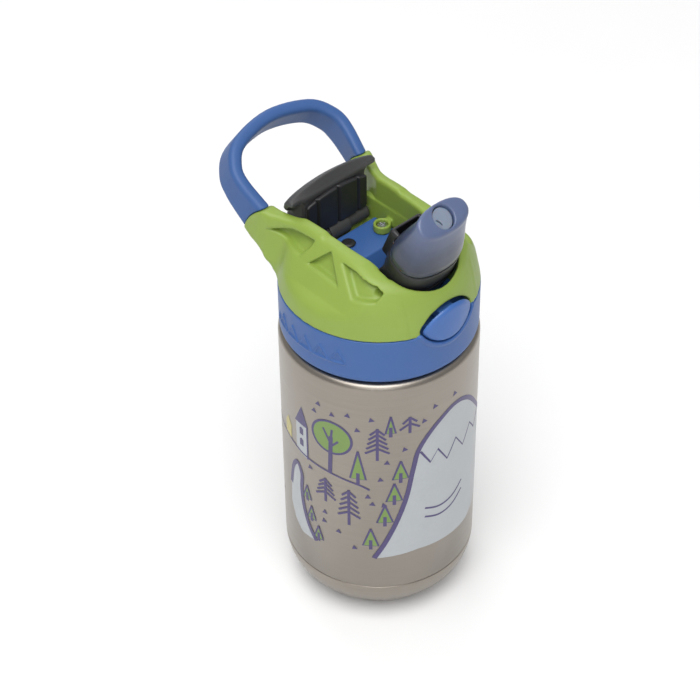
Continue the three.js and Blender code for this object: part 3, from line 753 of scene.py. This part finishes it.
green = moulded_finish("green_moulding", GREEN)
shell = moulded("shell_moulding", shell_shape, (-37.5, -37.5, 141.2), (37.5, 44.5, 169.8), 0.42, green)
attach(shell, "lid")
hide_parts("lid_shell")

# ---- Carry loop: the blue grip moulded on the ends of the green arms, one flat D of even band.
# It leans outwards where it meets the arms.


def loop_shape(x, along, across):
    return both(loop_band(x, along, across), joint_line(across) + 0.1 - along, 0.3)


def place_loop(points):
    x, along, across = points.T
    across = across + LOOP_HEIGHT
    y = LOOP_TILT[0] * along - LOOP_TILT[1] * across
    z = LOOP_TILT[1] * along + LOOP_TILT[0] * across
    return np.stack([x, y, z], 1)


grip_blue = moulded_finish("grip_moulding", (0.034, 0.096, 0.275), 0.42, 0.02)
loop = moulded("carry_loop", loop_shape, (-30, 124.5, -8), (30, 158.5, 8), 0.36, grip_blue, place_loop)
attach(loop, "lid")
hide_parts("handle_grip")

# ---- Small metal in the lid: two cross-head screws, the pins and three wire springs.
# Bright plated steel; the springs are coiled from wire by one node tree.


def bright_finish():
    paint = Paint("bright_wire", Metallic=1.0)
    wear = paint.noise(0.6, 3.0)
    return paint.feed(
        Base_Color=paint.blend(wear, (0.50, 0.51, 0.53, 1), (0.66, 0.67, 0.69, 1)),
        Roughness=0.22 + 0.16 * wear,
        Normal=paint.bump(wear, 0.004),
    )


bright = bright_finish()


def coil_tree():
    """A spring: spiral radius, height, turns and wire radius in, one closed wire out."""
    tree = bpy.data.node_groups.new("coil", "GeometryNodeTree")
    tree.interface.new_socket("Geometry", in_out="OUTPUT", socket_type="NodeSocketGeometry")
    sockets = {name: tree.interface.new_socket(name, in_out="INPUT", socket_type="NodeSocketFloat").identifier
               for name in ("Radius", "Height", "Turns", "Wire")}
    add = tree.nodes.new
    source, sink = add("NodeGroupInput"), add("NodeGroupOutput")
    spiral = add("GeometryNodeCurveSpiral")
    spiral.inputs["Resolution"].default_value = 28
    section = add("GeometryNodeCurvePrimitiveCircle")
    section.inputs["Resolution"].default_value = 10
    skin = add("GeometryNodeCurveToMesh")
    skin.inputs["Fill Caps"].default_value = True
    realize = add("GeometryNodeRealizeInstances")
    coat = add("GeometryNodeSetMaterial")
    coat.inputs["Material"].default_value = bright
    for start, end in (
        (source.outputs["Radius"], spiral.inputs["Start Radius"]),
        (source.outputs["Radius"], spiral.inputs["End Radius"]),
        (source.outputs["Height"], spiral.inputs["Height"]),
        (source.outputs["Turns"], spiral.inputs["Rotations"]),
        (source.outputs["Wire"], section.inputs["Radius"]),
        (spiral.outputs["Curve"], skin.inputs["Curve"]),
        (section.outputs["Curve"], skin.inputs["Profile Curve"]),
        (skin.outputs["Mesh"], realize.inputs["Geometry"]),
        (realize.outputs["Geometry"], coat.inputs["Geometry"]),
        (coat.outputs["Geometry"], sink.inputs["Geometry"]),
    ):
        tree.links.new(start, end)
    return tree, sockets


wire_tree, wire_sockets = coil_tree()


def spring(name, node, radius, wire, turns, lie, spin_axis):
    """A coil in its CAD node's box; lie is the number of the axis that it lies along."""
    low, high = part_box(node)
    size = high - low
    length = max(size[lie] - 2 * wire * MM, 0)
    seed = bpy.data.objects.new("seed", bpy.data.meshes.new("seed"))
    bpy.context.scene.collection.objects.link(seed)
    modifier = seed.modifiers.new("coil", "NODES")
    modifier.node_group = wire_tree
    values = {"Radius": radius * MM, "Height": length, "Turns": turns, "Wire": wire * MM}
    for key, value in values.items():
        modifier[wire_sockets[key]] = value
    mesh = bpy.data.meshes.new_from_object(seed.evaluated_get(bpy.context.evaluated_depsgraph_get()))
    bpy.data.objects.remove(seed)
    spin = Matrix.Rotation(math.radians(90), 4, spin_axis)
    mesh.transform(Matrix.Translation((low + high) / 2) @ spin @ Matrix.Translation((0, 0, -length / 2)))
    mesh.shade_smooth()
    made = bpy.data.objects.new(name, mesh)
    bpy.context.scene.collection.objects.link(made)
    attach(made, "lid")
    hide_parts(node)


spring("spout_coil", "spout_spring", 2.8, 0.35, 2.0, 0, "Y")
spring("cover_coil", "cover_spring", 2.1, 0.3, 6.0, 0, "Y")
spring("button_coil", "button_spring", 1.5, 0.25, 5.0, 1, "X")


def screw_shape(x, y, z):
    r = np.hypot(x, y)
    head = both(both(r - 1.9, z - 2.6, 0.5), 1.2 - z)
    shank = np.maximum(r - 1.2, slab(z, -7.0, 1.5))
    wide, deep = np.abs(x), np.abs(y)
    cross = np.minimum(np.maximum(wide - 1.25, deep - 0.32), np.maximum(deep - 1.25, wide - 0.32))
    return without(either(head, shank), np.maximum(cross, 1.8 - z), 0.12)


for side in ("left", "right"):
    node = "screw_" + side
    low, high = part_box(node)
    centre = (low + high) / 2 / MM
    spot = np.array((centre.x, centre.y, 150.0))
    screw = moulded("cross_head_" + side, screw_shape, (-2.3, -2.3, -7.4), (2.3, 2.3, 3.0), 0.12, bright,
                    lambda points, spot=spot: points + spot)
    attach(screw, "lid")
    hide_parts(node)

for node in ("spout_pin_left", "spout_pin_right", "cover_pin"):
    low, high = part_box(node)
    radius = (high.z - low.z) / 2 / MM
    ends = (low.x / MM, high.x / MM)
    profile = [(0, ends[0]), (radius - 0.3, ends[0]), (radius, ends[0] + 0.3), (radius, ends[1] - 0.3),
               (radius - 0.3, ends[1]), (0, ends[1])]
    pin = turned(node + "_rod", profile, bright, 32)
    pin.data.transform(Matrix.Translation((0, (low.y + high.y) / 2, (low.z + high.z) / 2))
                       @ Matrix.Rotation(math.radians(90), 4, "Y"))
    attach(pin, "lid")
    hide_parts(node)

# ---- Soft seals and the straw: milky silicone rings, a black breather valve and a clear tube.
# The straw pushes on the stem under the deck and hangs to just above the flask's floor.


def milky_finish(name, color, rough):
    paint = Paint(name, Subsurface_Weight=0.35, Subsurface_Scale=0.003, Transmission_Weight=0.15)
    haze = paint.noise(3.0)
    return paint.feed(
        Base_Color=paint.blend(haze, shade(color, 0.94), shade(color, 1.03)),
        Roughness=rough + 0.1 * haze,
        Normal=paint.bump(haze, 0.02),
    )


silicone = milky_finish("milky_silicone", (0.74, 0.77, 0.80), 0.42)
clear = milky_finish("clear_tube", (0.70, 0.78, 0.86), 0.22)


def ring(name, node, inner_r, outer_r, edge, material, slot, centre=(0, 0), sides=96):
    low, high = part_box(node)
    a, b = low.z / MM, high.z / MM
    profile = [(inner_r + edge, a), (outer_r - edge, a), (outer_r, a + edge), (outer_r, b - edge),
               (outer_r - edge, b), (inner_r + edge, b), (inner_r, b - edge), (inner_r, a + edge)]
    made = turned(name, profile, material, sides, centre)
    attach(made, "seal" if node == "lid_gasket" else "lid")
    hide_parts(node)


ring("rim_gasket", "lid_gasket", 26.4, 30.5, 0.5, silicone, "silicone")
ring("stem_ring", "stem_seal", 2.2, 3.4, 0.3, silicone, "silicone", (0, SPOUT_Y), 48)
ring("straw_tube", "straw", 3.5, 4.5, 0.3, clear, "clear_plastic", (0, SPOUT_Y), 48)

BLACK = (0.016, 0.016, 0.018)
black = moulded_finish("black_moulding", BLACK, 0.34, 0.02)


def breather():
    low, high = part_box("vent_valve")
    top = high.z / MM
    profile = [(0, low.z / MM), (0.9, low.z / MM), (0.9, 149.9), (2.5, 150.25), (2.6, 150.5),
               (2.1, top - 0.2), (0.8, top), (0, top - 0.25)]
    centre = (low + high) / 2 / MM
    return turned("breather_valve", profile, black, 40, (centre.x, centre.y))


valve = breather()
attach(valve, "lid")
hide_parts("vent_valve")

# ---- Spout: a black hood on the pivot, a soft blue mouthpiece over it and a milky slit valve.
# Its own axis leans forward; u runs along it from the pivot, v points to the rear.
LEAN = math.radians(22.6)
HOOD_TOP = 13.0
SPOUT_TOP = 34.0


def place_spout(points):
    x, v, u = points.T
    sin, cos = math.sin(LEAN), math.cos(LEAN)
    return np.stack([x, SPOUT_Y + v * cos - u * sin, SPOUT_Z + v * sin + u * cos], 1)


def oval(x, v, half_width, half_depth, squareness=2.3):
    reach = (np.abs(x / half_width) ** squareness + np.abs(v / half_depth) ** squareness) ** (1 / squareness)
    return (reach - 1) * np.minimum(half_width, half_depth)


def hood_shape(x, v, u):
    barrel = both(np.hypot(v, u) - 7.2, np.abs(x) - 12.6, 0.8)
    width = np.interp(u, [0, 6, 13], [12.9, 13.8, 13.8])
    depth = np.interp(u, [0, 6, 13], [7.0, 9.7, 9.6])
    skirt = both(oval(x, v, width, depth), slab(u, -1, HOOD_TOP), 0.6)
    apron = oval(x, v, 12.9, np.interp(u, [-3.6, 0], [9.0, 9.6]))
    apron = both(apron, np.maximum(slab(u, -3.6, 4), v + 6.4), 0.6)
    skirt = either(skirt, apron)
    spine = both(both(slab(x, -7.2, 7.2), slab(v, 2, 12.2), 1.4), slab(u, 3.2, 16.2), 1.4)
    relief = oval(x, v, np.interp(u, [HOOD_TOP, 23], [14.2, 12.8]), np.interp(u, [HOOD_TOP, 23], [9.7, 7.8]))
    relief = both(relief, HOOD_TOP - u)
    body = without(either(either(barrel, skirt, 2.0), spine, 1.6), relief, 0.2)
    slot = np.maximum(np.maximum(slab(x, -5.4, 5.4), slab(v, 8.6, 11.0)), 9 - u)
    body = without(body, slot, 0.3)
    ends = np.maximum(np.hypot(v, u) - 1.8, 10 - np.abs(x))
    seat = np.maximum(np.hypot(v, u) - 3.6, x + 9.6)
    bore = np.hypot(x, v) - 4.2
    return without(without(without(body, ends), seat), bore)


def mouthpiece_shape(x, v, u):
    width = np.interp(u, [13, 16, 20, 25, 30, 34], [13.9, 14.0, 13.4, 12.3, 11.5, 11.1])
    depth = np.interp(u, [13, 16, 20, 25, 30, 34], [9.5, 9.2, 8.1, 6.6, 5.4, 5.0])
    body = both(oval(x, v, width, depth), u - SPOUT_TOP - 0.36 * v, 1.3)
    body = both(body, HOOD_TOP + 0.3 - u, 0.5)
    return without(body, np.hypot(x, v) - 4.1, 0.7)


def tube_shape(x, v, u):
    r = np.hypot(x, v)
    body = both(both(r - 3.9, u - SPOUT_TOP + 1.4 - 0.36 * v, 0.5), -5.4 - u)
    channel = np.maximum(r - 2.7, u - SPOUT_TOP + 2.6 - 0.36 * v)
    across, down = 0.86 * (x + 1.7) + 0.5 * (v + 0.5), 0.86 * (v + 0.5) - 0.5 * (x + 1.7)
    slit = np.maximum(np.abs(across + 0.12 * down * down) - 0.26, np.abs(down) - 1.3)
    slit = np.maximum(slit, SPOUT_TOP - 4 - u)
    return without(without(body, channel), slit, 0.15)


def tint_and_painted_shade_finish():
    paint = Paint("tint_and_painted_shade_silicone", Subsurface_Weight=0.12, Subsurface_Scale=0.003, Transmission_Weight=0.10,
                  Coat_Weight=0.2, Coat_Roughness=0.22)
    y, z = (paint.node("ShaderNodeSeparateXYZ", inputs={"Vector": paint.place()}, output=i) for i in (1, 2))
    up = (z - SPOUT_Z * MM) * math.cos(LEAN) - (y - SPOUT_Y * MM) * math.sin(LEAN)
    haze = paint.noise(4.0)
    # Darker towards the foot and paler towards the tip: the blue is the silicone's own tint, the near-black
    # foot is painted shade and the paler tip is painted light.
    painted_shade_low_half = paint.blend(up.above(18 * MM, 5 * MM), (0.006, 0.007, 0.012, 1), (0.036, 0.050, 0.095, 1))
    tint_and_painted_light = paint.blend(up.above(28 * MM, 6 * MM), painted_shade_low_half, (0.10, 0.135, 0.255, 1))
    return paint.feed(
        Base_Color=paint.blend(0.12 * haze, tint_and_painted_light, (0.20, 0.25, 0.40, 1)),
        Roughness=0.26 + 0.12 * haze,
        Normal=paint.bump(haze, 0.02),
    )


tint_and_painted_shade = tint_and_painted_shade_finish()
valve_milk = milky_finish("valve_silicone", (0.24, 0.29, 0.38), 0.36)
hood = moulded("spout_hood_moulding", hood_shape, (-14.5, -11, -8.2), (14.5, 13, 17.5), 0.32,
               black, place_spout)
mouthpiece = moulded("mouthpiece_soft", mouthpiece_shape, (-14.5, -10.5, 12.5), (14.5, 10.5, 37.5), 0.32,
                     tint_and_painted_shade, place_spout)
tube = moulded("slit_valve", tube_shape, (-4.6, -4.6, -6.2), (4.6, 4.6, 35.5), 0.16, valve_milk, place_spout)
for piece, node, slot in (
    (hood, "spout_hood", "black_plastic"),
    (mouthpiece, "mouthpiece", "clear_blue"),
    (tube, "mouth_tube", "silicone"),
):
    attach(piece, "spout")
    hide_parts(node)

# ---- Cover: the black flap behind the spout's tip, domed outside, with a ribbed pad inside.
# It turns on a steel pin between the green cheeks and springs back by itself.

COVER_HALF, HINGE_R = 14.7, 3


def flap_ring(x):
    """The wings' outline in the YZ plane, at a distance x from the middle."""
    full = math.sqrt(max(0.0, 1 - (x / 20.4) ** 2))
    crown = 3.4 * full * full
    return [(22.6, 170.1), (22.6, 171.7), (24.4, 172 + crown), (25.2 + 3 * full, 171.5 + 0.6 * crown - full),
            (25.6 + 5.8 * full, 171 - 4.6 * full), (25.5 + 7.6 * full, 170.3 - 9 * full),
            (25 + 5.6 * full, 169.9 - 9.6 * full), (24.4 + 2 * full, 169.5 - full)]


def flap_shape(x, y, z):
    slices = [outline_distance(y, z, flap_ring(across)) for across in x.ravel()]
    wings = both(np.concatenate(slices, 0), np.abs(x) - 20.2, 1.2)
    core = [(22.5, 153), (26.4, 153), (32.2, 160.4), (30.5, 165), (26.4, 170), (22.5, 171)]
    middle = both(outline_distance(y, z, core), np.abs(x) - COVER_HALF, 1.0)
    hinge = np.hypot(y - COVER_Y, z - COVER_Z)
    knuckle = both(hinge - HINGE_R, np.abs(x) - COVER_HALF, 0.6)
    body = either(either(wings, middle, 1.4), knuckle, 1.2)
    body = without(body, np.maximum(hinge - 4.2, np.abs(x) - 4.2), 0.3)
    shroud = np.maximum(np.maximum(np.abs(hinge - 3.6) - 0.4, np.abs(x) - 4.6), y + 0.4 * z - 84.4)
    return without(either(body, shroud), hinge - 1.4)


def pad_shape(x, y, z):
    crown = 0.5 * (x / 14) ** 2
    panel = np.abs((x + 48) % 9.6 - 4.8)
    groove = np.clip((panel - 4.0) / 0.8, 0, 1)
    plate = both(np.maximum(20.3 + crown + groove - y, y - 22.45), np.abs(x) - 14.2, 0.8)
    return both(plate, slab(z, 154.6, 170.4 - 0.012 * x * x), 0.9)


# The flap's colour is lighter than the other black mouldings: partly its own dark grey plastic, partly
# painted sheen for its top face.
flap_black_and_painted_sheen = moulded_finish("flap_moulding_painted_sheen", (0.045, 0.045, 0.046), 0.42, 0.03)
flap = moulded("cover_dome", flap_shape, (-21, 18.5, 147), (21, 34.5, 176), 0.36, flap_black_and_painted_sheen)
pad = moulded("cover_ribs", pad_shape, (-15, 19.2, 153.8), (15, 23.2, 171.4), 0.2, black)
for piece, node in ((flap, "cover_flap"), (pad, "cover_pad")):
    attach(piece, "cover")
    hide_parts(node)

# ---- Button: a glossy blue pointed oval in the front of the lid, on a stem that frees the spout.
# It slides straight back against its spring.


def button_shape(x, y, z):
    r = np.hypot(x, y)
    face = both(lens(x, z, 0.0), r - 37.05 + 0.006 * (x * x + (z - BUTTON_Z) ** 2), 1.6)
    face = np.maximum(face, 35.4 - r)
    stem = both(both(slab(x, -3.4, 3.4), slab(z, 144.4, 148.2), 0.4), slab(y, -36.2, -27.5), 0.4)
    return np.maximum(either(face, stem), y + 27.4)


button_blue = moulded_finish("button_gloss", (0.046, 0.13, 0.38), 0.24, 0.006)
button = moulded("button_oval", button_shape, (-13, -38.2, 135.4), (13, -26.8, 152), 0.3, button_blue)
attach(button, "button")
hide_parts("button_cap")
